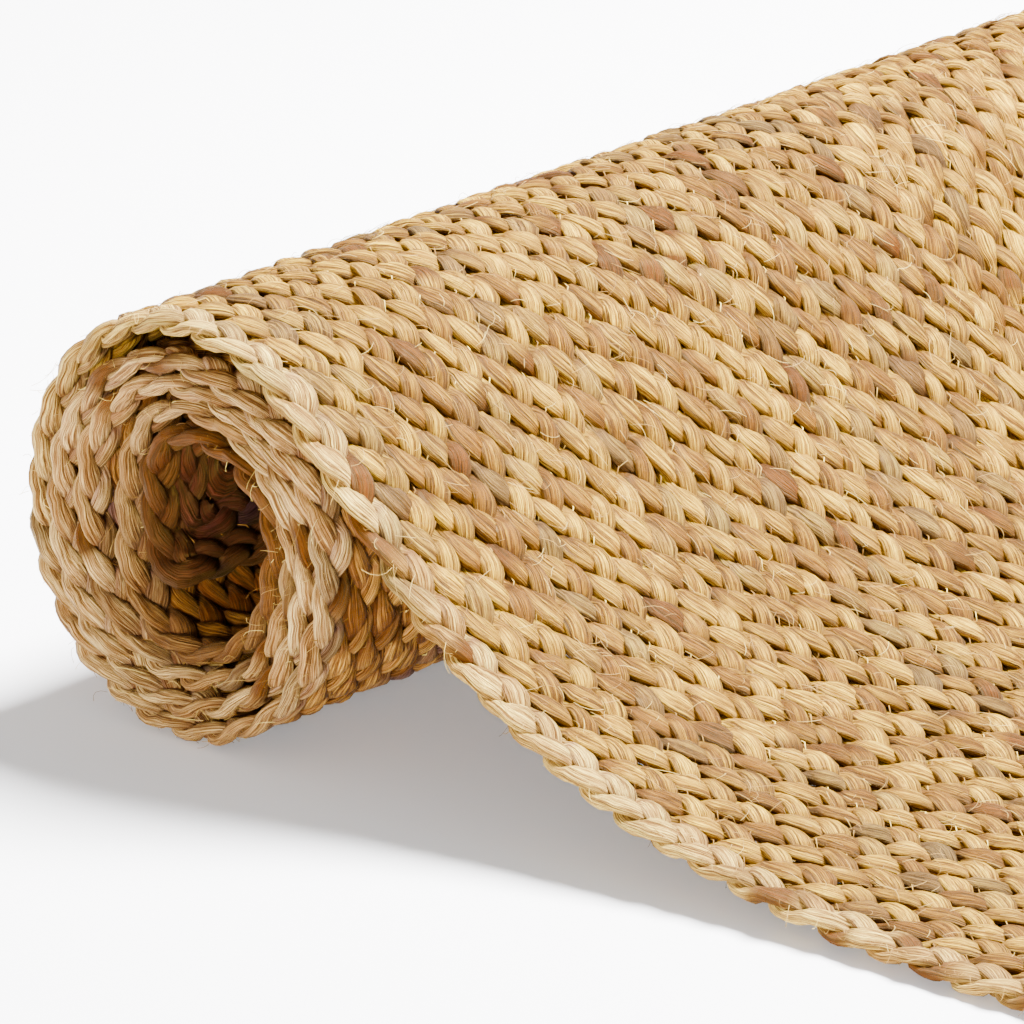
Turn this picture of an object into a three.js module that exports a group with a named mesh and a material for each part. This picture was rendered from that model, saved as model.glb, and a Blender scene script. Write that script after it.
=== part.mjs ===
// Plaited jute rug, rolled up from one end, with the rest of it laid out on the floor.
// The rug is a nest of plaited rings, each stitched to the ring round it.
// Units are millimetres. X runs along the rug from the roll to the free end, Y runs across it
// along the axis of the roll, and Z is up. The origin is on the floor under the middle of the
// rug as it lies, and the path of the rug is worked out from the middle of the roll.
import * as THREE from 'three';

// The rug laid flat.
const rugLength = 1800;
const rugWidth = 600;
const rugThickness = 6.6;
const ringCount = 22; // nested plaited rings, so two courses of plait across the rug for each
const seamGap = 0.3; // between one ring and the next
const columnsAcross = 3; // of each ring's faces: a long course, the middle and a long course

// The roll. A longer rug makes more turns, and each turn of it makes the roll thicker.
const rugPerTurn = 400;
const facetsPerTurn = 8;
const facetMitre = 1 / Math.cos(Math.PI / facetsPerTurn);
const turnsRolled = Math.round((rugLength / rugPerTurn) * facetsPerTurn) / facetsPerTurn;

// How loosely each wrap lies inside the wrap before it, at quarter turns from the top of the
// outermost wrap to the inner end. Extra turns lie outside these, as loosely as the first.
const wrapLooseness = [
  0.9, 0.9, 0.9, 0.8,
  0.6, 0.9, 0.6, 0.8,
  0.6, 10, 0.8, 0.9,
  1.5, 2.6, 16,
];
const listedTurns = 1 + (wrapLooseness.length - 1) / 4;
const extraTurns = turnsRolled - listedTurns;

// The outermost wrap, measured to the middle of the thickness, and how far it is squashed in at
// each quarter turn: top, back, bottom, front.
const coreReach = 29.3;
const wrapPitch = rugThickness * facetMitre + wrapLooseness[0];
const rollRadius = coreReach + turnsRolled * wrapPitch;
const squashes = [0, 5, 0, 6];
const outerWrapRadii = squashes.map((squash) => rollRadius - squash);

// The slope from the roll down to the floor: how far past its top it leaves the roll, how far
// forward of the roll's centre it lands, and how far its curve runs straight on at each end.
const liftOffTurn = 0.12;
const slopeReach = 320;
const slopeTopPull = 70;
const slopeLandingPull = 195;
const slopeFacets = 8;

// How finely the curve is measured inside each flat facet, and where its direction is taken.
const measuringSteps = 24;
const measuringTurn = 0.001;

// Colours of the undyed jute.
const edgeColour = 0xd9c098;
const fieldColours = [0xc79a55, 0xcba364, 0xc39450];
const juteRoughness = 0.9;

// A smooth value between numbers that are given at each quarter turn.
function easedBetweenQuarters(values, turn) {
  const quarter = Math.min(Math.floor(turn * 4), values.length - 2);
  const share = (1 - Math.cos(Math.PI * (turn * 4 - quarter))) / 2;
  return THREE.MathUtils.lerp(values[quarter], values[quarter + 1], share);
}

// The distance from one wrap in to the next one. Flat facets bring the wraps closer than the
// curve does, so the thickness counts more by the facet's mitre.
function wrapStep(turn) {
  const listed = Math.max(turn - 1 - extraTurns, 0);
  return rugThickness * facetMitre + easedBetweenQuarters(wrapLooseness, listed);
}

// Radius of the roll after a number of turns from its top. Past the top, on the way to the
// slope, the turn is negative and the rug still lies on the wrap inside it.
function wrapRadius(turn) {
  if (turn < 0) return wrapRadius(turn + 1) + wrapStep(1);
  if (turn <= 1) {
    const firstTurn = [...outerWrapRadii, outerWrapRadii[0] - wrapStep(1)];
    return easedBetweenQuarters(firstTurn, turn);
  }
  return wrapRadius(turn - 1) - wrapStep(turn);
}

// A point of the roll in the X and Z plane, over a centre at the given height.
function rollPoint(turn, centreHeight) {
  const angle = 2 * Math.PI * turn;
  const radius = wrapRadius(turn);
  return new THREE.Vector2(-radius * Math.sin(angle), centreHeight + radius * Math.cos(angle));
}

// Adds a facet's end to the path, with the rug's own length along the curve up to there.
function addKnot(path, pointAt, from, to) {
  let length = path[path.length - 1].along;
  let previous = pointAt(from);
  for (let step = 1; step <= measuringSteps; step += 1) {
    const next = pointAt(THREE.MathUtils.lerp(from, to, step / measuringSteps));
    length += next.distanceTo(previous);
    previous = next;
  }
  path.push({ point: previous, along: length });
}

// The roll from its inner end out to its top and on to where the slope leaves it.
function rollPath(centreHeight) {
  const pointAt = (turn) => rollPoint(turn, centreHeight);
  const path = [{ point: pointAt(turnsRolled), along: 0 }];
  const facets = Math.round(turnsRolled * facetsPerTurn);
  for (let facet = facets; facet > 0; facet -= 1) {
    addKnot(path, pointAt, facet / facetsPerTurn, (facet - 1) / facetsPerTurn);
  }
  addKnot(path, pointAt, 0, -liftOffTurn);
  return path;
}

// The direction in which the rug leaves the roll for the slope.
function liftOffDirection(centreHeight) {
  const before = rollPoint(measuringTurn - liftOffTurn, centreHeight);
  return rollPoint(-liftOffTurn, centreHeight).sub(before).normalize();
}

// The whole path of the rug: the roll, the slope down to the floor and the part laid flat.
function rugPath(centreHeight) {
  const path = rollPath(centreHeight);
  const liftOff = path[path.length - 1].point;
  const floor = rugThickness / 2;
  const slope = new THREE.CubicBezierCurve(
    liftOff,
    liftOffDirection(centreHeight).multiplyScalar(slopeTopPull).add(liftOff),
    new THREE.Vector2(slopeReach - slopeLandingPull, floor),
    new THREE.Vector2(slopeReach, floor),
  );
  for (let facet = 0; facet < slopeFacets; facet += 1) {
    const pointAt = (share) => slope.getPoint(share);
    addKnot(path, pointAt, facet / slopeFacets, (facet + 1) / slopeFacets);
  }
  const landed = path[path.length - 1];
  const flatLength = rugLength - landed.along;
  path.push({ point: new THREE.Vector2(landed.point.x + flatLength, floor), along: rugLength });
  return path;
}

// The direction square to the facet between two knots, towards the rug's upper face.
function facetNormal(from, to) {
  const along = to.point.clone().sub(from.point).normalize();
  return new THREE.Vector2(-along.y, along.x);
}

// The step from the middle of the thickness to the upper face at a knot, where two facets
// share a mitred edge.
function mitredHalfThickness(path, index) {
  const before = facetNormal(path[Math.max(index - 1, 0)], path[Math.max(index, 1)]);
  const last = path.length - 1;
  const after = facetNormal(path[Math.min(index, last - 1)], path[Math.min(index + 1, last)]);
  const middle = before.clone().add(after).normalize();
  return middle.multiplyScalar(rugThickness / 2 / middle.dot(after));
}

// The two faces of the rug, knot by knot.
function addFaces(path) {
  return path.map((knot, index) => {
    const half = mitredHalfThickness(path, index);
    const upper = knot.point.clone().add(half);
    const under = knot.point.clone().sub(half);
    return { along: knot.along, upper, under };
  });
}

// The height of the roll's centre that sets its lowest edge on the floor.
function rollCentreHeight() {
  const faces = addFaces(rollPath(0));
  return -Math.min(...faces.map((row) => row.upper.y));
}

// The faces at any length along the rug, between two knots.
function facesAt(faces, along) {
  const next = Math.max(faces.findIndex((row) => row.along >= along), 1);
  const from = faces[next - 1];
  const to = faces[next];
  const share = (along - from.along) / (to.along - from.along);
  return {
    along,
    upper: from.upper.clone().lerp(to.upper, share),
    under: from.under.clone().lerp(to.under, share),
  };
}

// The rows of a ring: both edges of its two end courses and every knot between them.
function ringRows(faces, outset, inset) {
  const ends = [outset, inset, rugLength - inset, rugLength - outset];
  const knots = faces.map((row) => row.along);
  const between = knots.filter((along) => along > outset && along < rugLength - outset);
  const stops = [...ends, ...between].sort((a, b) => a - b);
  return stops.map((along) => facesAt(faces, along));
}

// One plaited ring as a closed solid. Four lines run along it, at the outer and inner edges of
// its two long courses, and the cells between the inner lines are left out except at its ends.
function ringGeometry(faces, outset, inset) {
  const rows = ringRows(faces, outset, inset);
  const edges = [outset, inset, rugWidth - inset, rugWidth - outset].map((y) => y - rugWidth / 2);
  const positions = [];
  const corner = (row, column, face) => {
    const at = rows[row][face];
    return [at.x, edges[column], at.y];
  };
  const quad = (a, b, c, d) => positions.push(...a, ...b, ...c, ...a, ...c, ...d);
  const filled = (row, column) => {
    if (row < 0 || row >= rows.length - 1 || column < 0 || column >= columnsAcross) return false;
    const inEnd = rows[row + 1].along <= inset || rows[row].along >= rugLength - inset;
    return column !== 1 || inEnd;
  };
  const wall = (rowA, columnA, rowB, columnB) => quad(
    corner(rowA, columnA, 'under'),
    corner(rowB, columnB, 'under'),
    corner(rowB, columnB, 'upper'),
    corner(rowA, columnA, 'upper'),
  );
  for (let row = 0; row < rows.length - 1; row += 1) {
    for (let column = 0; column < columnsAcross; column += 1) {
      if (!filled(row, column)) continue;
      quad(corner(row, column, 'upper'), corner(row + 1, column, 'upper'),
        corner(row + 1, column + 1, 'upper'), corner(row, column + 1, 'upper'));
      quad(corner(row, column, 'under'), corner(row, column + 1, 'under'),
        corner(row + 1, column + 1, 'under'), corner(row + 1, column, 'under'));
      if (!filled(row, column - 1)) wall(row, column, row + 1, column);
      if (!filled(row, column + 1)) wall(row + 1, column + 1, row, column + 1);
      if (!filled(row - 1, column)) wall(row, column + 1, row, column);
      if (!filled(row + 1, column)) wall(row + 1, column, row + 1, column + 1);
    }
  }
  const geometry = new THREE.BufferGeometry();
  geometry.setAttribute('position', new THREE.Float32BufferAttribute(positions, 3));
  geometry.computeVertexNormals();
  return geometry;
}

// The plain name of a ring, counted from the edge of the rug to its centre.
function ringName(ring) {
  const number = String(ring + 1).padStart(2, '0');
  if (ring === 0) return `plait_ring_${number}_edge`;
  if (ring === ringCount - 1) return `plait_ring_${number}_centre`;
  return `plait_ring_${number}`;
}

function plaitedRing(faces, ring) {
  const pitch = (rugWidth + seamGap) / (2 * ringCount);
  const outset = ring * pitch;
  const inset = outset + pitch - seamGap;
  const colour = ring === 0 ? edgeColour : fieldColours[ring % fieldColours.length];
  const material = new THREE.MeshStandardMaterial({
    color: colour,
    roughness: juteRoughness,
    metalness: 0,
  });
  const mesh = new THREE.Mesh(ringGeometry(faces, outset, inset), material);
  mesh.name = ringName(ring);
  return mesh;
}

// The middle of the rug's whole length as it lies, from the back of the roll to the free end.
function middleOfLength(faces) {
  const reach = faces.flatMap((row) => [row.upper.x, row.under.x]);
  return (Math.min(...reach) + Math.max(...reach)) / 2;
}

function buildRug() {
  const faces = addFaces(rugPath(rollCentreHeight()));
  const rug = new THREE.Group();
  rug.position.x = -middleOfLength(faces);
  for (let ring = 0; ring < ringCount; ring += 1) {
    rug.add(plaitedRing(faces, ring));
  }
  return rug;
}

export default buildRug();
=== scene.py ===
"""A plaited jute runner, rolled up from one end, with the rest laid out down to its free end.

Each ring of the rug is a plait of three combed strands. The rings are stitched side by side
with thread, and a few fibres stand off the surface. Lengths are in metres.
"""

import math

import bpy
import numpy as np
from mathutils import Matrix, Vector


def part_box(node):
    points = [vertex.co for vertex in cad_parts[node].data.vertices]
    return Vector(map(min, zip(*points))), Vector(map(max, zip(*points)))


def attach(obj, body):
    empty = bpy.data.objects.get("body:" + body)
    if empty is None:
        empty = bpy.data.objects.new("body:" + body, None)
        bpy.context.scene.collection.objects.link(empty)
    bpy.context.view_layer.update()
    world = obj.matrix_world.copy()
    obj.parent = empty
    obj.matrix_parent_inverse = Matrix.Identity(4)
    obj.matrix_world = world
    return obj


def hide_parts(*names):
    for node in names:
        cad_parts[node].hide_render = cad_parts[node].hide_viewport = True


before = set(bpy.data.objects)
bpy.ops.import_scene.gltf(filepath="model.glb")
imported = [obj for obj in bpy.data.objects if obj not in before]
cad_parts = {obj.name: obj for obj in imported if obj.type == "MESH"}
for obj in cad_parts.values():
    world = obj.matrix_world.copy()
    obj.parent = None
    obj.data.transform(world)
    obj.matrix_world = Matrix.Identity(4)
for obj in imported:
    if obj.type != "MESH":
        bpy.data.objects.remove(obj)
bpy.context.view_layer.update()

bl_info = {
    "name": "Plaited Jute Rug",
    "version": (1, 0, 0),
    "blender": (4, 5, 0),
    "location": "3D View > Sidebar > Jute Rug",
    "description": "Builds the plaits, thread and loose fibres of a half-rolled jute rug",
    "category": "Object",
}

RING_NODES = sorted(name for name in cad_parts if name.startswith("plait_ring"))
EDGE_NODE = RING_NODES[0]
EDGE_LOW, EDGE_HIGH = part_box(EDGE_NODE)
RUG_WIDTH = EDGE_HIGH[1] - EDGE_LOW[1]
RING_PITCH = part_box(RING_NODES[1])[0][1] - EDGE_LOW[1]

# The way the rug is rolled, as the frame is: radii to the middle of its thickness at quarter
# turns from the top of the roll (top, back, bottom, front), and how loosely each wrap lies
# inside the one before it.
RUG_LENGTH = 1.8
RUG_THICKNESS = 0.0066
ROLL_RADIUS = 0.065498
OUTER_WRAP_RADII = (ROLL_RADIUS, ROLL_RADIUS - 0.005, ROLL_RADIUS, ROLL_RADIUS - 0.006)
WRAP_LOOSENESS = (
    0.0009, 0.0009, 0.0009, 0.0008,
    0.0006, 0.0009, 0.0006, 0.0008,
    0.0006, 0.0100, 0.0008, 0.0009,
    0.0015, 0.0026, 0.0160,
)
FACET_MITRE = 1 / math.cos(math.pi / 8)
TURNS_ROLLED = 4.5
LIFT_OFF_TURN = 0.12
SLOPE_REACH = 0.320
SLOPE_TOP_PULL = 0.070
SLOPE_LANDING_PULL = 0.195

# The inner wraps hang down a little from the outermost one, most at the top and less at the
# back. The shares of the sag are given at quarter turns from the top of the roll.
WRAP_SAG = 0.0042
WRAP_SAG_SHARES = (
    0.0, 0.0, 0.0, 0.0,
    1.0, 0.3, 0.0, 0.0,
    1.0, 0.3, 0.0, 0.0,
    1.0, 0.3, 0.0, 0.0,
    1.0, 0.3, 0.0, 0.0,
)

# The sag makes the roll's curve shorter than the rug, and the plaits in the roll take up the
# rest of the length evenly. More than this would mean that the path is wrong.
MOST_EASED_IN = 0.045

# How far each wrap has slid along the roll's axis, at turns from the top of the roll.
ROLL_DRIFT_TURNS = (4.5, 3.6, 2.8, 2.1, 1.4, 0.8, 0.0)
ROLL_DRIFT = (0.0040, 0.0035, 0.0025, 0.0010, -0.0020, -0.0010, 0.0)

# Steps per turn of the roll, and in the slope, that measure the curve.
STEPS_PER_TURN = 720
SLOPE_STEPS = 600

STRANDS = 3
FIELD_SLOT = "field_jute"
EDGE_SLOT = "edge_jute"

# Each random set of draws starts from its own number, so that every run is the same.
RING_SEED = 1000
THREAD_SEED = 3000
FIELD_FIBRE_SEED = 51
EDGE_FIBRE_SEED = 52


# ---------------------------------------------------------------- sizes and colours


def length_prop(name, description, default):
    return bpy.props.FloatProperty(
        name=name, description=description, default=default, min=0.0, precision=5, unit="LENGTH"
    )


def power_prop(name, description, default):
    return bpy.props.FloatProperty(
        name=name, description=description, default=default, min=0.0, unit="POWER"
    )


def colour_prop(name, description, default):
    return bpy.props.FloatVectorProperty(
        name=name, description=description, default=default, size=3, min=0.0, max=1.0,
        subtype="COLOR",
    )


class JuteRugSizes(bpy.types.PropertyGroup):
    """Sizes of the plait, its stitching and its loose fibres."""

    plait_repeat: length_prop(
        "Plait repeat", "Length of plait in which a strand comes back to the same side", 0.0470
    )
    strand_width: length_prop("Strand width", "Width of a strand where it lies on top", 0.0088)
    strand_thickness: length_prop("Strand thickness", "Thickness of a flattened strand", 0.0035)
    strand_reach: length_prop("Strand reach", "How far a strand swings off the middle", 0.0043)
    corner_radius: length_prop("Corner radius", "Radius of a ring's corners", 0.0050)
    close_step: length_prop("Close step", "Step along a strand where it shows", 0.0024)
    hidden_step: length_prop("Hidden step", "Step along a strand inside the roll", 0.0090)
    stitch_length: length_prop("Stitch length", "From one stitch to the next", 0.0120)
    stitch_reach: length_prop("Stitch reach", "How far a stitch reaches into each plait", 0.0022)
    stitch_depth: length_prop("Stitch depth", "How far a stitch stands off the middle", 0.0021)
    thread_width: length_prop("Thread width", "Thickness of the sewing thread", 0.0004)
    fibre_width: length_prop("Fibre width", "Thickness of a loose fibre", 0.00015)
    field_fibres: bpy.props.IntProperty(
        name="Field fibres", description="Loose fibres over the face of the rug", default=7000
    )
    edge_fibres: bpy.props.IntProperty(
        name="Edge fibres", description="Loose fibres along the edges", default=1100
    )


class JuteRugColours(bpy.types.PropertyGroup):
    """Colours of the undyed jute and its thread."""

    cream: colour_prop("Cream", "Palest combed jute", (0.53, 0.300, 0.014))
    gold: colour_prop("Gold", "Usual golden jute", (0.180, 0.068, 0.0036))
    # The rust and bark colours also paint the shade in the roll's core.
    rust: colour_prop("Rust", "Reddish root ends", (0.085, 0.017, 0.0004))
    bark: colour_prop("Bark", "Specks of bark left in the jute", (0.018, 0.010, 0.007))
    grey: colour_prop("Grey", "Dull weathered jute", (0.125, 0.079, 0.024))
    edge_cream: colour_prop("Edge cream", "Palest jute of the edge plait", (0.60, 0.385, 0.080))
    edge_gold: colour_prop("Edge gold", "Usual jute of the edge plait", (0.38, 0.198, 0.036))
    thread: colour_prop("Thread", "Sewing thread", (0.20, 0.10, 0.020))
    loose_fibre: colour_prop("Loose fibre", "Fibres that stand off the rug", (0.46, 0.29, 0.075))


class JuteRugStudio(bpy.types.PropertyGroup):
    """Camera, floor and lights."""

    azimuth: bpy.props.FloatProperty(
        name="Azimuth", description="Direction the camera looks in, from +Y towards -X",
        default=math.radians(41.0), subtype="ANGLE",
    )
    elevation: bpy.props.FloatProperty(
        name="Elevation", description="Height of the camera above the horizon",
        default=math.radians(19.5), subtype="ANGLE",
    )
    distance: length_prop("Distance", "From the camera to the near end of the roll", 2.40)
    lens: bpy.props.FloatProperty(
        name="Lens", description="Focal length in millimetres", default=275.0
    )
    aim_right: length_prop("Aim right", "Middle of the view, right of the roll's end", 0.1032)
    aim_up: length_prop("Aim up", "Middle of the view, above the roll's axis", 0.0092)
    floor_colour: colour_prop("Floor", "Pale studio floor", (0.93, 0.925, 0.94))
    key_power: power_prop("Key power", "Light from above and behind", 485.0)
    fill_power: power_prop("Fill power", "Low light from the front", 330.0)
    air: bpy.props.FloatProperty(
        name="Air", description="Strength of the white light from all round", default=0.62
    )


# ---------------------------------------------------------------- the rug's path


def eased_between_quarters(values, turn):
    """A smooth value between numbers given at each quarter turn."""
    quarter = min(int(turn * 4), len(values) - 2)
    share = (1 - math.cos(math.pi * (turn * 4 - quarter))) / 2
    return values[quarter] + (values[quarter + 1] - values[quarter]) * share


def wrap_step(turn):
    """The distance from one wrap in to the next one."""
    return RUG_THICKNESS * FACET_MITRE + eased_between_quarters(WRAP_LOOSENESS, turn - 1)


def wrap_radius(turn):
    """The roll's radius after a number of turns from its top, negative on the way forward."""
    if turn < 0:
        return wrap_radius(turn + 1) + wrap_step(1)
    if turn <= 1:
        first_turn = (*OUTER_WRAP_RADII, OUTER_WRAP_RADII[0] - wrap_step(1))
        return eased_between_quarters(first_turn, turn)
    return wrap_radius(turn - 1) - wrap_step(turn)


def roll_curve():
    """Points in X and Z from the inner end of the roll to where the slope leaves it."""
    centre_height = OUTER_WRAP_RADII[2] + RUG_THICKNESS / 2 * FACET_MITRE
    steps = round((TURNS_ROLLED + LIFT_OFF_TURN) * STEPS_PER_TURN)
    turns = np.linspace(TURNS_ROLLED, -LIFT_OFF_TURN, steps + 1)
    radii = np.array([wrap_radius(turn) for turn in turns])
    radii -= [WRAP_SAG * eased_between_quarters(WRAP_SAG_SHARES, max(turn, 0)) for turn in turns]
    angles = 2 * math.pi * turns
    points = np.stack([-radii * np.sin(angles), centre_height + radii * np.cos(angles)], 1)
    return turns, points


def slope_curve(roll):
    """Points in X and Z from the roll down to the floor, as one cubic curve."""
    start = roll[-1]
    heading = roll[-1] - roll[-2]
    heading /= np.linalg.norm(heading)
    floor = RUG_THICKNESS / 2
    handles = (
        start,
        start + heading * SLOPE_TOP_PULL,
        np.array([SLOPE_REACH - SLOPE_LANDING_PULL, floor]),
        np.array([SLOPE_REACH, floor]),
    )
    t = np.linspace(0, 1, SLOPE_STEPS + 1)[1:, None]
    weights = ((1 - t) ** 3, 3 * (1 - t) ** 2 * t, 3 * (1 - t) * t ** 2, t ** 3)
    return sum(weight * handle for weight, handle in zip(weights, handles))


class RugPath:
    """The middle of the rug's thickness, seen from the side, measured along the rug.

    It is the roll, the slope and the flat part, set so that the free end is the frame's.
    """

    def __init__(self):
        turns, roll = roll_curve()
        points = np.vstack([roll, slope_curve(roll)])
        along = np.concatenate([[0], np.cumsum(np.linalg.norm(np.diff(points, axis=0), axis=1))])
        back_of_roll = points[:, 0].min() - RUG_THICKNESS / 2
        flat = back_of_roll + EDGE_HIGH[0] - EDGE_LOW[0] - SLOPE_REACH
        points = np.vstack([points, points[-1] + [flat, 0]])
        along = np.append(along, along[-1] + flat)
        eased_in = RUG_LENGTH - along[-1]
        if abs(eased_in) > MOST_EASED_IN:
            raise RuntimeError("the rug's path and the frame differ in length")
        self.along = along + eased_in * np.clip(along / along[len(turns) - 1], 0, 1)
        heading = np.gradient(points, self.along, axis=0)
        heading[-2:] = (1, 0)
        heading /= np.linalg.norm(heading, axis=1)[:, None]
        self.points = points + [EDGE_HIGH[0] - points[-1, 0], 0]
        self.normals = np.stack([-heading[:, 1], heading[:, 0]], 1)
        self.turns = turns
        self.drift_at = [self.along_at_turn(turn) for turn in ROLL_DRIFT_TURNS]

    def along_at_turn(self, turn):
        """Length along the rug at which the roll has made this many turns from its top."""
        return float(np.interp(-turn, -self.turns, self.along[: len(self.turns)]))

    def place(self, along, across, height):
        """Points in space from length along the rug, distance across it and height off it."""
        across = across + np.interp(along, self.drift_at, ROLL_DRIFT)
        x, z, nx, nz = (
            np.interp(along, self.along, column)
            for column in (*self.points.T, *self.normals.T)
        )
        return np.stack([x + nx * height, across, z + nz * height], -1)


# ---------------------------------------------------------------- the rings laid flat


class RingRoute:
    """The centre line of one ring on the rug laid flat: a rectangle with round corners.

    It starts in the middle of the rolled-in end, runs to the near side and along it to the
    free end, and comes back along the far side.
    """

    ARC_STEPS = 16
    CORNER_SPREAD = 0.55  # how much further out the plait spreads to fill a corner

    def __init__(self, inset, radius):
        half = RUG_WIDTH / 2 - inset
        radius = min(radius, half)
        near, far = inset, RUG_LENGTH - inset
        quarter = math.pi / 2
        corners = (
            (near + radius, radius - half, 2 * quarter),
            (far - radius, radius - half, 3 * quarter),
            (far - radius, half - radius, 4 * quarter),
            (near + radius, half - radius, 5 * quarter),
        )
        points, headings, spreads = [(near, 0.0)], [-quarter], [1.0]
        for u, v, start in corners:
            for turn in np.linspace(0, quarter, self.ARC_STEPS + 1):
                angle = start + turn
                points.append((u + radius * math.cos(angle), v + radius * math.sin(angle)))
                headings.append(angle - 3 * quarter)
                spreads.append(1 + self.CORNER_SPREAD * math.sin(2 * turn))
        points.append((near, 0.0))
        headings.append(headings[-1])
        spreads.append(1.0)
        self.points = np.array(points)
        self.headings = np.array(headings)
        self.spreads = np.array(spreads)
        steps = np.linalg.norm(np.diff(self.points, axis=0), axis=1)
        self.at = np.concatenate([[0], np.cumsum(steps)])
        self.length = float(self.at[-1])

    def locate(self, s, sideways=0.0):
        """Length along the rug and distance across it, at s along the ring."""
        s = np.mod(s, self.length)
        u = np.interp(s, self.at, self.points[:, 0])
        v = np.interp(s, self.at, self.points[:, 1])
        heading = np.interp(s, self.at, self.headings)
        sideways = np.where(np.less(sideways, 0), sideways * self.spread(s), sideways)
        return u - np.sin(heading) * sideways, v + np.cos(heading) * sideways

    def spread(self, s):
        """How far the outer side of the plait is spread at s along the ring, 1 on a straight."""
        return np.interp(np.mod(s, self.length), self.at, self.spreads)


CORNER_STEP = 0.0012


def ring_steps(route, close, hidden, hides):
    """Places along a ring: closest at its corners, and furthest apart hidden in the roll."""
    places, s = [], 0.0
    while s < route.length:
        places.append(s)
        u, _ = route.locate(s)
        step = hidden if hides(float(u)) else close
        if max(route.spread(s), route.spread(s + step)) > 1:
            step = CORNER_STEP
        s += step
    return np.array(places)


def wandering(rng, s, length, spacing):
    """Smooth random values from -1 to 1 round a closed length, one new value each spacing."""
    count = max(4, round(length / spacing))
    values = rng.uniform(-1, 1, count)
    place = s / length * count
    low = np.floor(place).astype(int)
    share = (1 - np.cos(np.pi * (place - low))) / 2
    return values[low % count] * (1 - share) + values[(low + 1) % count] * share


# ---------------------------------------------------------------- strands


STRAND_SIDES = 10
NO_CAPS = np.zeros((0, 3), int)

LIFT_FLATNESS = 0.9  # how flat the top of a strand's rise and fall is
STRAND_BULGE = 0.0002  # how far a strand stands proud of the rug's thickness
HEIGHT_WANDER = 0.00025

# How far a strand's section leans, in radians: with its place in the plait, and by chance.
PLAIT_LEAN = 0.17
LOOSE_LEAN = 0.22

# A strand's width and thickness, as shares of the full ones.
TUCKED_WIDTH = 0.68
SHOWN_WIDTH = 0.36  # more, where it lies on top
FOLD_THICKNESS = 0.55  # more, where it folds over at the side
SIZE_WANDER = 0.16

# The ridges along a strand, as shares of its radius, and how far they wind round it.
RIDGE_WANDER = 0.055
RIDGE_HEIGHT = 0.035
RIDGE_WINDING = 0.5


def strand_line(route, s, theta, reach, lift):
    """The middle of a strand in the plait: along, across and height, and where it lies."""
    sideways = reach * np.sin(theta)
    on_top = np.tanh(-LIFT_FLATNESS * np.sin(2 * theta)) / math.tanh(LIFT_FLATNESS)
    u, v = route.locate(s, sideways)
    return np.stack([u, v, lift * on_top], 1), sideways / reach, on_top


def strand_axes(centres):
    """The wide and thin axes of a strand's section at each of its steps, round a closed loop."""
    heading = np.roll(centres, -1, 0) - np.roll(centres, 1, 0)
    heading /= np.linalg.norm(heading, axis=1)[:, None]
    wide = np.cross((0.0, 0.0, 1.0), heading)
    wide /= np.linalg.norm(wide, axis=1)[:, None]
    return wide, np.cross(heading, wide)


def strand_surface(rng, route, s, theta, sizes, open_side):
    """Vertices of one strand, in the rug's flat measure, and what its material reads.

    The material reads the angle round the strand and a mask of painted shade where it tucks under
    its neighbour. On the edge of the rug the outer side of the plait is open to view, so it has no
    painted shade.
    """
    half_width, half_thickness = sizes.strand_width / 2, sizes.strand_thickness / 2
    reach = sizes.strand_reach
    lift = RUG_THICKNESS / 2 + STRAND_BULGE - half_thickness
    centres, side, on_top = strand_line(route, s, theta, reach, lift)
    length = route.length
    wide, thin = strand_axes(centres)
    tilt = PLAIT_LEAN * side * on_top + LOOSE_LEAN * wandering(rng, s, length, 0.012)
    tilted_wide = wide * np.cos(tilt)[:, None] - thin * np.sin(tilt)[:, None]
    tilted_thin = thin * np.cos(tilt)[:, None] + wide * np.sin(tilt)[:, None]
    shown = np.abs(on_top)
    folded = side ** 4 * (1 - shown)
    width = TUCKED_WIDTH + SHOWN_WIDTH * shown + SIZE_WANDER * wandering(rng, s, length, 0.010)
    width *= half_width * (1 + (route.spread(s) - 1) * np.clip(-side, 0, 1))
    thickness = 1 + FOLD_THICKNESS * folded + SIZE_WANDER * wandering(rng, s, length, 0.011)
    thickness *= half_thickness
    centres[:, 2] += HEIGHT_WANDER * wandering(rng, s, length, 0.010)
    sides = np.arange(STRAND_SIDES)
    winding = RIDGE_WINDING * wandering(rng, s, length, 0.03)[:, None]
    angle = 2 * math.pi * sides / STRAND_SIDES + winding
    ridges = np.stack([wandering(rng, s, length, 0.013) for _ in sides], 1)
    in_and_out = np.where(sides % 2 == 0, 1, -1) * (0.6 + 0.4 * ridges)
    ridge = 1 + RIDGE_WANDER * ridges + RIDGE_HEIGHT * in_and_out
    x = width[:, None] * np.cos(angle) * ridge
    y = thickness[:, None] * np.sin(angle) * ridge
    points = (
        centres[:, None]
        + x[:, :, None] * tilted_wide[:, None]
        + y[:, :, None] * tilted_thin[:, None]
    )
    # Painted shade mask: strongest where the strand tucks under its neighbour and at its sides.
    crevice_shade = np.maximum(1 - 1.25 * shown[:, None], 0.8 * np.abs(np.cos(angle)) ** 6)
    if open_side:
        crevice_shade *= np.clip(side + 0.6, 0, 1)[:, None]
    return points, angle, np.clip(crevice_shade, 0, 1)


def patches_above(rng, s, length, spacing, least, full):
    """Patches that fade in from 0 to 1 where a smooth random value is above the least."""
    values = wandering(rng, s, length, spacing)
    return np.clip((values - least) / (full - least), 0, 1)


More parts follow.
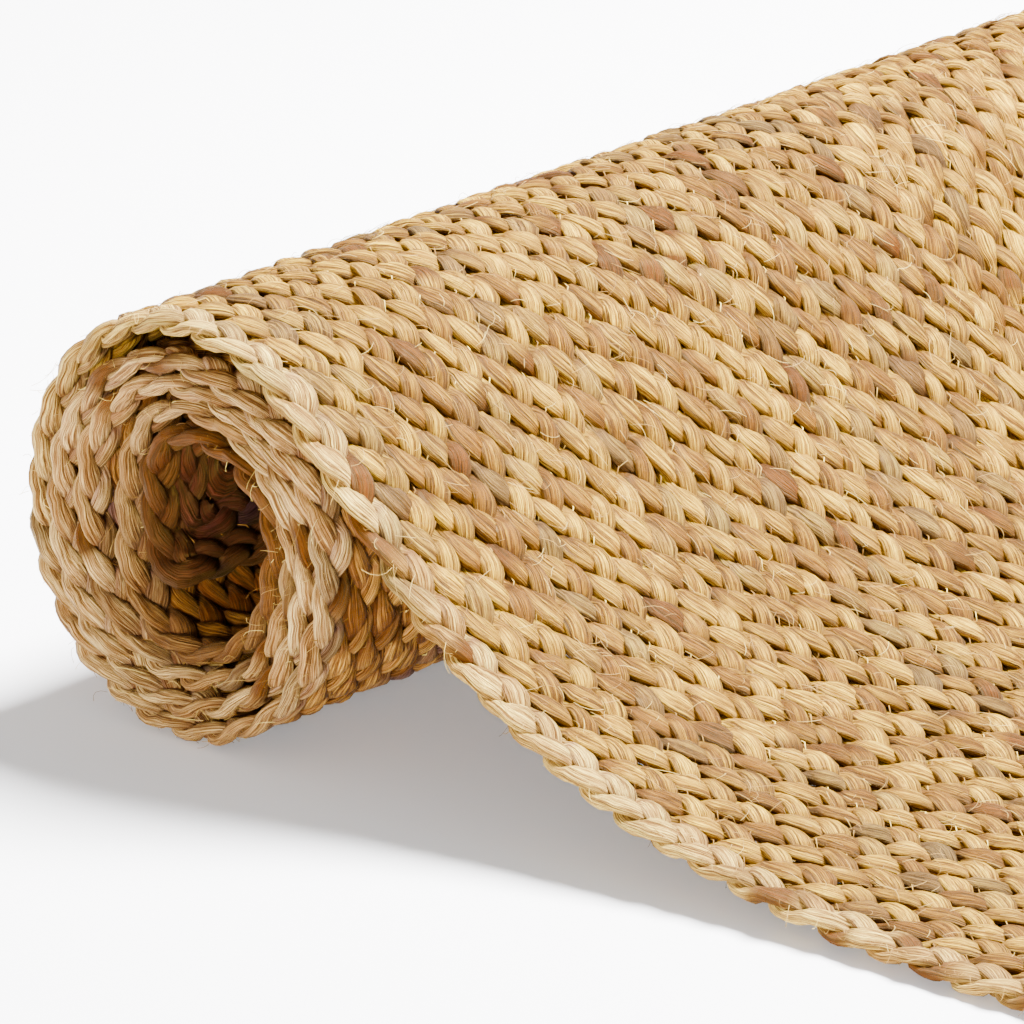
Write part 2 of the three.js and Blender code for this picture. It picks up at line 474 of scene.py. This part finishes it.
def strand_colours(rng, s, length, count):
    """How pale, how rusty or specked with bark, and how grey a strand is along its length."""
    pale = 0.46 + 0.70 * wandering(rng, s, length, 0.060) + 0.55 * wandering(rng, s, length, 0.017)
    rust = patches_above(rng, s, length, 0.026, 0.64, 0.84)
    rust += patches_above(rng, s, length, 0.011, 0.98833, 1.005)
    grey = 0.8 * patches_above(rng, s, length, 0.055, 0.44444, 1.0)
    return np.repeat(np.stack([np.clip(pale, 0, 1), rust, grey], 1)[:, None], count, 1)


# Painted shade: the core of the roll is painted browner and darker, as in the shade deep inside the
# roll.
CORE_SHADE_REACH = 0.34  # how much of the rolled-in end is browner than the rest


def painted_core_shade(u, dye):
    """The tone values with painted shade in the roll's core, the rolled-in end browner and darker
    than the rest.
    """
    inside = np.clip((CORE_SHADE_REACH - u) / CORE_SHADE_REACH, 0, 1) ** 0.5
    pale, rust, grey = dye.T
    # The painted shade is laid on with the rust colour and, past full rust, the bark colour.
    rust = np.maximum(rust, 0.85 * inside) + 0.35 * inside ** 2
    return np.stack([pale - 0.5 * inside, rust, grey * (1 - inside)], 1)


def tube_faces(steps, sides, start, closed):
    """Four-sided faces round a tube whose vertices come step by step, facing outwards."""
    rows = np.arange(steps if closed else steps - 1)
    a = (rows[:, None] * sides + np.arange(sides)).ravel()
    b = (rows[:, None] * sides + (np.arange(sides) + 1) % sides).ravel()
    ahead = (rows + 1) % steps
    c = (ahead[:, None] * sides + (np.arange(sides) + 1) % sides).ravel()
    d = (ahead[:, None] * sides + np.arange(sides)).ravel()
    return np.stack([a, b, c, d], 1) + start


def make_piece(name, points, quads, caps, attributes, material):
    """A smooth mesh object from vertices, four-sided faces and three-sided end caps."""
    mesh = bpy.data.meshes.new(name)
    mesh.vertices.add(len(points))
    mesh.vertices.foreach_set("co", np.ascontiguousarray(points, np.float32).ravel())
    corners = np.concatenate([quads.ravel(), caps.ravel()]).astype(np.int32)
    mesh.loops.add(len(corners))
    mesh.loops.foreach_set("vertex_index", corners)
    starts = np.concatenate([
        np.arange(0, quads.size, 4), np.arange(quads.size, len(corners), 3)
    ]).astype(np.int32)
    mesh.polygons.add(len(starts))
    mesh.polygons.foreach_set("loop_start", starts)
    mesh.polygons.foreach_set("use_smooth", np.ones(len(starts), bool))
    for label, values in attributes.items():
        layer = mesh.attributes.new(label, "FLOAT_VECTOR", "POINT")
        layer.data.foreach_set("vector", np.ascontiguousarray(values, np.float32).ravel())
    mesh.update(calc_edges=True)
    mesh.validate()
    mesh.materials.append(material)
    piece = bpy.data.objects.new(name, mesh)
    bpy.context.scene.collection.objects.link(piece)
    return piece


def place_on_frame(piece, slot, *nodes):
    """Rides the piece with the rug and lets it stand for frame nodes. The slot is not used."""
    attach(piece, "root")
    if nodes:
        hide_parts(*nodes)


# The wraps between these turns of the roll are hidden, but for the rings at the rug's edge.
HIDDEN_TURNS = (3.1, 1.3)
SHOWN_RINGS = 2

SWAY = 0.55  # how far a plait runs ahead of its even repeat or behind it, in radians
TONE_STARTS = 40  # a strand's fibre pattern starts at a length of its own, up to this many metres

# The part of the rug past this turn of the roll, mostly in shade, gets a painted shade colour after a
# short fade.
ROLL_SHADE_TURN = 0.05
ROLL_SHADE_FADE = 0.12
ROLL_SHADE_EDGE_SHARE = 0.28  # the edge is pale already, so it takes only this share


def roll_shade_share(path, index, u):
    """How far the painted shade colour of the rolled-up part shows at a length along the rug."""
    rolled = np.clip((path.along_at_turn(ROLL_SHADE_TURN) - u) / ROLL_SHADE_FADE, 0, 1)
    return rolled * ROLL_SHADE_EDGE_SHARE if index == 0 else rolled


def plait_ring(path, index, sizes, material):
    """One ring of the rug as a plait of three strands."""
    node = RING_NODES[index]
    rng = np.random.default_rng(RING_SEED + index)
    route = RingRoute((index + 0.5) * RING_PITCH, sizes.corner_radius)
    hidden_from, hidden_to = (path.along_at_turn(turn) for turn in HIDDEN_TURNS)

    def hides(u):
        return index >= SHOWN_RINGS and hidden_from < u < hidden_to

    s = ring_steps(route, sizes.close_step, sizes.hidden_step, hides)
    repeats = round(route.length / sizes.plait_repeat)
    sway = rng.uniform(0, 2 * math.pi) + SWAY * wandering(rng, s, route.length, 0.06)
    turn = 2 * math.pi * repeats * s / route.length + sway
    points, faces, fibre, colour, depth = [], [], [], [], []
    for strand in range(STRANDS):
        theta = turn + 2 * math.pi * strand / STRANDS
        flat, angle, crevice_shade = strand_surface(rng, route, s, theta, sizes, index == 0)
        count = flat.shape[0] * flat.shape[1]
        faces.append(tube_faces(len(s), STRAND_SIDES, strand * count, closed=True))
        points.append(path.place(*flat.reshape(-1, 3).T))
        points[-1][:, 2] = np.maximum(points[-1][:, 2], 0)
        start = rng.uniform(0, TONE_STARTS)
        along = np.repeat((s + start)[:, None], STRAND_SIDES, 1)
        fibre.append(np.stack([along, np.cos(angle), np.sin(angle)], -1).reshape(-1, 3))
        colour.append(strand_colours(rng, s, route.length, STRAND_SIDES).reshape(-1, 3))
        # The mask of painted shade where the strand tucks under its neighbour.
        depth.append(crevice_shade.ravel())
    u = np.tile(np.repeat(route.locate(s)[0], STRAND_SIDES), STRANDS)
    # The share of painted shade colour for the rolled-up part.
    rolled = roll_shade_share(path, index, u)
    attributes = {
        "fibre": np.vstack(fibre),
        # The jute's tone, with painted shade in the roll's core.
        "dye": painted_core_shade(u, np.vstack(colour)),
        # Masks of painted shade: the rolled-up part's shade colour and the crevices under
        # neighbouring strands.
        "lie": np.stack([rolled, np.concatenate(depth), np.zeros_like(rolled)], 1),
    }
    name = node.replace("plait_ring", "jute_plait")
    piece = make_piece(name, np.vstack(points), np.vstack(faces), NO_CAPS, attributes, material)
    place_on_frame(piece, EDGE_SLOT if index == 0 else FIELD_SLOT, node)


# ---------------------------------------------------------------- thread and loose fibres


FINE_SIDES = 3
ASKEW = (0.31, 0.54, 0.78)  # a direction that no thread or fibre follows
NEVER_ZERO = 1e-12


def fine_tubes(lines, width, closed):
    """Three-sided tubes along many lines at once, each line an array of points."""
    count, steps, _ = lines.shape
    heading = np.gradient(lines, axis=1)
    if closed:
        heading = np.roll(lines, -1, 1) - np.roll(lines, 1, 1)
    heading /= np.linalg.norm(heading, axis=2)[..., None] + NEVER_ZERO
    side = np.cross(heading, ASKEW)
    side /= np.linalg.norm(side, axis=2)[..., None] + NEVER_ZERO
    other = np.cross(heading, side)
    angle = 2 * math.pi * np.arange(FINE_SIDES) / FINE_SIDES
    ring = np.cos(angle)[:, None] * side[:, :, None] + np.sin(angle)[:, None] * other[:, :, None]
    points = lines[:, :, None] + ring * width / 2
    each = steps * FINE_SIDES
    starts = np.arange(count)[:, None, None] * each
    quads = (tube_faces(steps, FINE_SIDES, 0, closed)[None] + starts).reshape(-1, 4)
    if closed:
        return points.reshape(-1, 3), quads, NO_CAPS
    first = np.array([2, 1, 0]) + starts[:, 0]
    last = np.array([0, 1, 2]) + starts[:, 0] + each - FINE_SIDES
    return points.reshape(-1, 3), quads, np.vstack([first, last])


def plain_attributes(rng, lines_count, each, pale):
    """The fibre and dye values of fine tubes: each has one tone of its own."""
    tone = np.repeat(rng.uniform(*pale, lines_count), each)
    zero = np.zeros_like(tone)
    start = np.repeat(rng.uniform(0, TONE_STARTS, lines_count), each)
    return {"fibre": np.stack([start, zero, zero], 1), "dye": np.stack([tone, zero, zero], 1)}


STITCH_POINTS = 4
STITCH_WANDER = 0.0008


def sewing_thread(path, seam, sizes, material):
    """The thread whipped round the seam between one ring and the next ring in."""
    rng = np.random.default_rng(THREAD_SEED + seam)
    route = RingRoute((seam + 1) * RING_PITCH, sizes.corner_radius)
    stitches = round(route.length / sizes.stitch_length)
    s = np.arange(stitches * STITCH_POINTS) * route.length / (stitches * STITCH_POINTS)
    s = s + rng.uniform(-STITCH_WANDER, STITCH_WANDER, len(s))
    turn = 2 * math.pi * np.arange(len(s)) / STITCH_POINTS
    u, v = route.locate(s, sizes.stitch_reach * np.cos(turn))
    height = sizes.stitch_depth * np.sin(turn)
    line = path.place(u, v, height)[None]
    points, quads, caps = fine_tubes(line, sizes.thread_width, closed=True)
    attributes = plain_attributes(rng, 1, len(points), (0.4, 0.6))
    name = f"sewing_thread_{seam + 1:02d}"
    piece = make_piece(name, points, quads, caps, attributes, material)
    place_on_frame(piece, FIELD_SLOT)


HAIR_STEPS = 5
HAIR_BEND = 0.9
HAIR_ROOT = 0.0002  # how far under the rug's face a fibre starts
PAST_FREE_END = 0.006  # how far a fibre may reach past the free end
CLEAR_OF_FLOOR = 0.0002


def hair_lines(path, rng, u, v, heading, lengths, rise):
    """Curved hairs that start in the rug's upper face and end a little above it."""
    t = np.linspace(0, 1, HAIR_STEPS)
    bend = rng.normal(0, HAIR_BEND, len(u))
    angle = heading[:, None] + bend[:, None] * t
    step = lengths[:, None] / (HAIR_STEPS - 1)
    du = np.cumsum(np.cos(angle) * step, 1)
    dv = np.cumsum(np.sin(angle) * step, 1)
    lift = rise[:, None] * np.sin(np.pi * t * rng.uniform(0.45, 1.0, len(u))[:, None])
    root = RUG_THICKNESS / 2 - HAIR_ROOT
    along = np.clip(u[:, None] + du, 0, RUG_LENGTH + PAST_FREE_END)
    across = v[:, None] + dv
    lines = path.place(along.ravel(), across.ravel(), (root + lift).ravel())
    lines[:, 2] = np.maximum(lines[:, 2], CLEAR_OF_FLOOR)
    return lines.reshape(len(u), HAIR_STEPS, 3)


def make_fibres(name, slot, rng, lines, width, pale, material):
    """All the loose fibres of the face or the edges, as one piece."""
    points, quads, caps = fine_tubes(lines, width, closed=False)
    attributes = plain_attributes(rng, len(lines), HAIR_STEPS * FINE_SIDES, pale)
    piece = make_piece(name, points, quads, caps, attributes, material)
    place_on_frame(piece, slot)


SHORT_OF_FREE_END = 0.01  # how far from the free end the last fibres start
FIRST_FIELD_TURN = 0.5  # the face is hidden further into the roll than this


def field_fibres(path, sizes, material):
    """Loose fibres combed up from the face of the rug where it shows."""
    rng = np.random.default_rng(FIELD_FIBRE_SEED)
    count = sizes.field_fibres
    first, last = path.along_at_turn(FIRST_FIELD_TURN), RUG_LENGTH - SHORT_OF_FREE_END
    half = RUG_WIDTH / 2 - 0.006
    u = rng.uniform(first, last, count)
    v = rng.uniform(-half, half, count)
    heading = rng.choice([-1, 1], count) * rng.normal(0.55, 0.6, count)
    lengths = rng.uniform(0.003, 0.011, count)
    rise = 0.0002 + rng.gamma(1.4, 0.0005, count).clip(0, 0.004)
    lines = hair_lines(path, rng, u, v, heading, lengths, rise)
    make_fibres("loose_fibres_field", FIELD_SLOT, rng, lines, sizes.fibre_width, (0.9, 1.5), material)


def edge_fibres(path, sizes, material):
    """Loose fibres that stand off the two long edges, in the roll and down the slope."""
    rng = np.random.default_rng(EDGE_FIBRE_SEED)
    count = sizes.edge_fibres
    u = rng.uniform(0.005, RUG_LENGTH - SHORT_OF_FREE_END, count)
    side = np.where(rng.random(count) < 0.5, -1, 1)
    v = side * (RUG_WIDTH / 2 - 0.0022)
    heading = side * rng.normal(0.9, 0.5, count)
    lengths = rng.gamma(2.0, 0.0022, count).clip(0.002, 0.012)
    rise = rng.normal(-0.0020, 0.0013, count)
    lines = hair_lines(path, rng, u, v, heading, lengths, rise)
    make_fibres("loose_fibres_edge", EDGE_SLOT, rng, lines, sizes.fibre_width, (0.4, 1.0), material)


# ---------------------------------------------------------------- materials


# Painted shade colour: the rolled-up part of the rug, mostly in shade, is tinted paler and less
# yellow, as shaded jute looks.
ROLL_SHADE_TINT = (1.0, 0.86, 2.9, 1.0)

# Painted shade: where a strand tucks in under its neighbour it is painted browner and duller, as in
# the shade there.
CREVICE_SHADE_TINT = (0.56, 0.42, 0.85, 1.0)


JUTE_SOCKETS = (
    ("Cream", "INPUT", "NodeSocketColor"),
    ("Gold", "INPUT", "NodeSocketColor"),
    ("Rust", "INPUT", "NodeSocketColor"),
    ("Grey", "INPUT", "NodeSocketColor"),
    ("Bark", "INPUT", "NodeSocketColor"),
    ("Colour", "OUTPUT", "NodeSocketColor"),
    ("Roughness", "OUTPUT", "NodeSocketFloat"),
    ("Relief", "OUTPUT", "NodeSocketFloat"),
)

# How many features the noise has for each metre along a strand, and once round it.
BUNDLES = (55.0, 6.0)
FIBRES = (150.0, 21.0)
PATCHES = (38.0, 0.9)
NOISE_WARP = 0.35

# The powers that turn shade between fibres brown: blue falls off first and red last.
BROWN_POWERS = (("Red", 0.9), ("Green", 1.2), ("Blue", 1.3))
BUNDLE_RELIEF = 0.9
FIBRE_RELIEF = 0.55


def jute_group():
    """Fibre streaks, colour and relief that every jute and thread material shares."""
    group = bpy.data.node_groups.new("Combed jute", "ShaderNodeTree")
    for name, in_out, kind in JUTE_SOCKETS:
        group.interface.new_socket(name=name, in_out=in_out, socket_type=kind)
    nodes, links = group.nodes, group.links

    def add(kind, **values):
        node = nodes.new(kind)
        for key, value in values.items():
            setattr(node, key, value)
        return node

    def noise(vector, stretch, detail, rough):
        along, around = stretch
        stretched = add("ShaderNodeVectorMath", operation="MULTIPLY")
        stretched.inputs[1].default_value = (along, around, around)
        links.new(vector, stretched.inputs[0])
        node = add("ShaderNodeTexNoise")
        node.inputs["Scale"].default_value = 1.0
        node.inputs["Detail"].default_value = detail
        node.inputs["Roughness"].default_value = rough
        node.inputs["Distortion"].default_value = NOISE_WARP
        links.new(stretched.outputs["Vector"], node.inputs["Vector"])
        return node.outputs["Fac"]

    def ramp(value, low, high, from_low=0.0, from_high=1.0):
        node = add("ShaderNodeMapRange", clamp=True)
        links.new(value, node.inputs["Value"])
        node.inputs["From Min"].default_value = from_low
        node.inputs["From Max"].default_value = from_high
        node.inputs["To Min"].default_value = low
        node.inputs["To Max"].default_value = high
        return node.outputs["Result"]

    def feed(value, socket):
        if isinstance(value, (float, tuple)):
            socket.default_value = value
        else:
            links.new(value, socket)

    def mix(fac, a, b, blend="MIX"):
        node = add("ShaderNodeMix", data_type="RGBA", blend_type=blend)
        colour_a, colour_b = (socket for socket in node.inputs if socket.identifier[-6:] == "_Color")
        feed(fac, node.inputs["Factor"])
        feed(a, colour_a)
        feed(b, colour_b)
        return next(socket for socket in node.outputs if socket.identifier == "Result_Color")

    def tint(mask, colour, multiplier):
        return mix(mask, colour, mix(1.0, colour, multiplier, "MULTIPLY"))

    def maths(operation, a, b):
        node = add("ShaderNodeMath", operation=operation)
        feed(a, node.inputs[0])
        feed(b, node.inputs[1])
        return node.outputs["Value"]

    def parts(name):
        """The three numbers of a piece's own attribute."""
        split = add("ShaderNodeSeparateXYZ")
        attribute = add("ShaderNodeAttribute", attribute_name=name)
        links.new(attribute.outputs["Vector"], split.inputs["Vector"])
        return split.outputs

    given = add("NodeGroupInput").outputs
    fibre = add("ShaderNodeAttribute", attribute_name="fibre").outputs["Vector"]
    paleness, rust_and_core_shade, greyness = parts("dye")
    rolled, crevice_shade, _ = parts("lie")

    bundles = noise(fibre, BUNDLES, 2.0, 0.6)
    fibres = noise(fibre, FIBRES, 3.0, 0.7)
    patches = noise(fibre, PATCHES, 1.0, 0.5)

    pale = maths("ADD", paleness, ramp(bundles, -0.34, 0.34, 0.3, 0.7))
    pale = maths("ADD", pale, ramp(patches, -0.22, 0.22, 0.3, 0.7))
    colour = mix(ramp(pale, 0.0, 1.0), given["Gold"], given["Cream"])
    rusty = maths("MULTIPLY", ramp(rust_and_core_shade, 0.0, 1.0), ramp(bundles, 0.8, 1.0, 0.3, 0.6))
    colour = mix(rusty, colour, given["Rust"])
    # Bark specks where the rust value passes 1; in the roll's core this is painted shade.
    colour = mix(ramp(rust_and_core_shade, 0.0, 0.9, 1.0, 1.4), colour, given["Bark"])
    colour = mix(greyness, colour, given["Grey"])
    fibre_shade = ramp(fibres, 0.05, 1.40, 0.38, 0.60)
    bundle_shade = ramp(bundles, 0.22, 1.22, 0.35, 0.56)
    shade = maths("MULTIPLY", fibre_shade, bundle_shade)
    brown_shade = add("ShaderNodeCombineColor")
    for channel, power in BROWN_POWERS:
        links.new(maths("POWER", shade, power), brown_shade.inputs[channel])
    colour = mix(1.0, colour, brown_shade.outputs["Color"], "MULTIPLY")
    # Painted shade: the rolled-up part takes a paler, less yellow shade colour.
    colour = tint(rolled, colour, ROLL_SHADE_TINT)
    # Painted shade in the crevices where strands tuck under their neighbours.
    colour = tint(crevice_shade, colour, CREVICE_SHADE_TINT)

    bundle_relief = maths("MULTIPLY", bundles, BUNDLE_RELIEF)
    relief = maths("ADD", bundle_relief, maths("MULTIPLY", fibres, FIBRE_RELIEF))
    result = add("NodeGroupOutput")
    links.new(colour, result.inputs["Colour"])
    links.new(ramp(fibres, 0.42, 0.72, 0.3, 0.7), result.inputs["Roughness"])
    links.new(relief, result.inputs["Relief"])
    return group


GLOSS = 0.38
GLOSS_TINT = (1.0, 0.64, 0.12, 1.0)
STRAND_RELIEF = 0.0016
FINE_RELIEF = 0.0001


def jute_material(name, group, cream, gold, rust, grey, relief):
    """A jute finish from the shared fibre group, with its own colours and depth of relief."""
    bark = bpy.context.scene.jute_rug_colours.bark
    material = bpy.data.materials.new(name)
    material.use_nodes = True
    nodes, links = material.node_tree.nodes, material.node_tree.links
    shader = nodes["Principled BSDF"]
    fibres = nodes.new("ShaderNodeGroup")
    fibres.node_tree = group
    tones = {"Cream": cream, "Gold": gold, "Rust": rust, "Grey": grey, "Bark": bark}
    for socket, colour in tones.items():
        fibres.inputs[socket].default_value = (*colour, 1.0)
    bump = nodes.new("ShaderNodeBump")
    bump.inputs["Strength"].default_value = 1.0
    bump.inputs["Distance"].default_value = relief
    links.new(fibres.outputs["Relief"], bump.inputs["Height"])
    links.new(fibres.outputs["Colour"], shader.inputs["Base Color"])
    links.new(fibres.outputs["Roughness"], shader.inputs["Roughness"])
    links.new(bump.outputs["Normal"], shader.inputs["Normal"])
    shader.inputs["Specular IOR Level"].default_value = GLOSS
    shader.inputs["Specular Tint"].default_value = GLOSS_TINT
    material.diffuse_color = (*gold, 1.0)
    return material


def rug_materials():
    """The field, edge, thread and loose-fibre finishes, made once."""
    names = ("Field jute", "Edge jute", "Jute thread", "Loose jute fibre")
    if names[0] in bpy.data.materials:
        return [bpy.data.materials[name] for name in names]
    c = bpy.context.scene.jute_rug_colours
    tones = (
        (c.cream, c.gold, c.rust, c.grey, STRAND_RELIEF),
        (c.edge_cream, c.edge_gold, c.rust, c.grey, STRAND_RELIEF),
        (c.edge_cream, c.thread, c.gold, c.grey, FINE_RELIEF),
        (c.loose_fibre, c.edge_cream, c.gold, c.grey, FINE_RELIEF),
    )
    group = jute_group()
    return [jute_material(name, group, *tone) for name, tone in zip(names, tones)]


# ---------------------------------------------------------------- operators


class JUTERUG_OT_plaits(bpy.types.Operator):
    """Plait every ring of the rug from three strands"""

    bl_idname = "jute_rug.plaits"
    bl_label = "Plaited rings"

    def execute(self, context):
        path = RugPath()
        field, edge = rug_materials()[:2]
        for index in range(len(RING_NODES)):
            plait_ring(path, index, context.scene.jute_rug_sizes, field if index else edge)
        return {"FINISHED"}


class JUTERUG_OT_thread(bpy.types.Operator):
    """Whip the rings together with sewing thread"""

    bl_idname = "jute_rug.thread"
    bl_label = "Sewing thread"

    def execute(self, context):
        path = RugPath()
        thread = rug_materials()[2]
        for seam in range(len(RING_NODES) - 1):
            sewing_thread(path, seam, context.scene.jute_rug_sizes, thread)
        return {"FINISHED"}


class JUTERUG_OT_fibres(bpy.types.Operator):
    """Pull loose fibres out of the face and the edges"""

    bl_idname = "jute_rug.fibres"
    bl_label = "Loose fibres"

    def execute(self, context):
        path = RugPath()
        loose = rug_materials()[3]
        field_fibres(path, context.scene.jute_rug_sizes, loose)
        edge_fibres(path, context.scene.jute_rug_sizes, loose)
        return {"FINISHED"}


FLOOR_SIZE = 14.0
FLOOR_DROP = 0.0003  # the floor lies this far under the rug
FLOOR_ROUGHNESS = 0.8
KEY_PLACE, KEY_SIZE = (0.05, 0.70, 1.70), 0.85
FILL_PLACE, FILL_SIZE = (1.1, -3.2, 0.40), 0.70
LIGHTS_AIM = (-0.05, -0.1, 0.05)


class JUTERUG_OT_studio(bpy.types.Operator):
    """Set the floor, the lights and the camera"""

    bl_idname = "jute_rug.studio"
    bl_label = "Studio"

    def execute(self, context):
        studio = context.scene.jute_rug_studio
        bpy.ops.object.select_all(action="DESELECT")
        bpy.ops.mesh.primitive_plane_add(size=FLOOR_SIZE, location=(0, 0, -FLOOR_DROP))
        floor = context.object
        floor.name = "studio_floor"
        material = bpy.data.materials.new("Studio floor")
        material.use_nodes = True
        shader = material.node_tree.nodes["Principled BSDF"]
        shader.inputs["Base Color"].default_value = (*studio.floor_colour, 1.0)
        shader.inputs["Roughness"].default_value = FLOOR_ROUGHNESS
        floor.data.materials.append(material)
        world = bpy.data.worlds.new("Studio air")
        world.use_nodes = True
        air = world.node_tree.nodes["Background"]
        air.inputs["Color"].default_value = (1, 1, 1, 1)
        air.inputs["Strength"].default_value = studio.air
        context.scene.world = world
        soft_light("key_light", KEY_PLACE, KEY_SIZE, studio.key_power)
        soft_light("fill_light", FILL_PLACE, FILL_SIZE, studio.fill_power)
        place_camera(context.scene, studio)
        return {"FINISHED"}


def soft_light(name, place, size, power):
    """A square studio light that faces the middle of the rug."""
    data = bpy.data.lights.new(name, "AREA")
    data.size = size
    data.energy = power
    lamp = bpy.data.objects.new(name, data)
    lamp.location = place
    aim = Vector(LIGHTS_AIM) - Vector(place)
    lamp.rotation_euler = aim.to_track_quat("-Z", "Y").to_euler()
    bpy.context.scene.collection.objects.link(lamp)


def place_camera(scene, studio):
    """Look at the near end of the roll and past it, from the front right."""
    sin_a, cos_a = math.sin(studio.azimuth), math.cos(studio.azimuth)
    sin_e, cos_e = math.sin(studio.elevation), math.cos(studio.elevation)
    forward = Vector((-sin_a * cos_e, cos_a * cos_e, -sin_e))
    right = Vector((cos_a, sin_a, 0.0))
    up = right.cross(forward)
    roll_centre = EDGE_LOW[0] + OUTER_WRAP_RADII[1] + RUG_THICKNESS / 2
    roll_end = Vector((roll_centre, EDGE_LOW[1], OUTER_WRAP_RADII[2]))
    aim = roll_end + right * studio.aim_right + up * studio.aim_up
    data = bpy.data.cameras.new("studio_camera")
    data.lens = studio.lens
    data.clip_end = 50.0
    camera = bpy.data.objects.new("studio_camera", data)
    camera.location = aim - forward * studio.distance
    camera.rotation_euler = forward.to_track_quat("-Z", "Y").to_euler()
    scene.collection.objects.link(camera)
    scene.camera = camera


class JUTERUG_PT_panel(bpy.types.Panel):
    """Sizes, colours and steps of the rug"""

    bl_idname = "JUTERUG_PT_panel"
    bl_label = "Jute Rug"
    bl_space_type = "VIEW_3D"
    bl_region_type = "UI"
    bl_category = "Jute Rug"

    def draw(self, context):
        layout = self.layout
        for group in (
            context.scene.jute_rug_sizes,
            context.scene.jute_rug_colours,
            context.scene.jute_rug_studio,
        ):
            column = layout.column()
            for key in group.__annotations__:
                column.prop(group, key)
        for step in STEPS:
            layout.operator(step.bl_idname)


STEPS = (JUTERUG_OT_studio, JUTERUG_OT_plaits, JUTERUG_OT_thread, JUTERUG_OT_fibres)
GROUPS = {
    "jute_rug_sizes": JuteRugSizes,
    "jute_rug_colours": JuteRugColours,
    "jute_rug_studio": JuteRugStudio,
}


def register():
    for cls in (*GROUPS.values(), *STEPS, JUTERUG_PT_panel):
        bpy.utils.register_class(cls)
    for name, cls in GROUPS.items():
        setattr(bpy.types.Scene, name, bpy.props.PointerProperty(type=cls))


def unregister():
    for name in GROUPS:
        delattr(bpy.types.Scene, name)
    for cls in (JUTERUG_PT_panel, *reversed(STEPS), *reversed(GROUPS.values())):
        bpy.utils.unregister_class(cls)


def main():
    register()
    bpy.ops.jute_rug.studio()
    bpy.ops.jute_rug.plaits()
    bpy.ops.jute_rug.thread()
    bpy.ops.jute_rug.fibres()


if __name__ == "__main__":
    main()
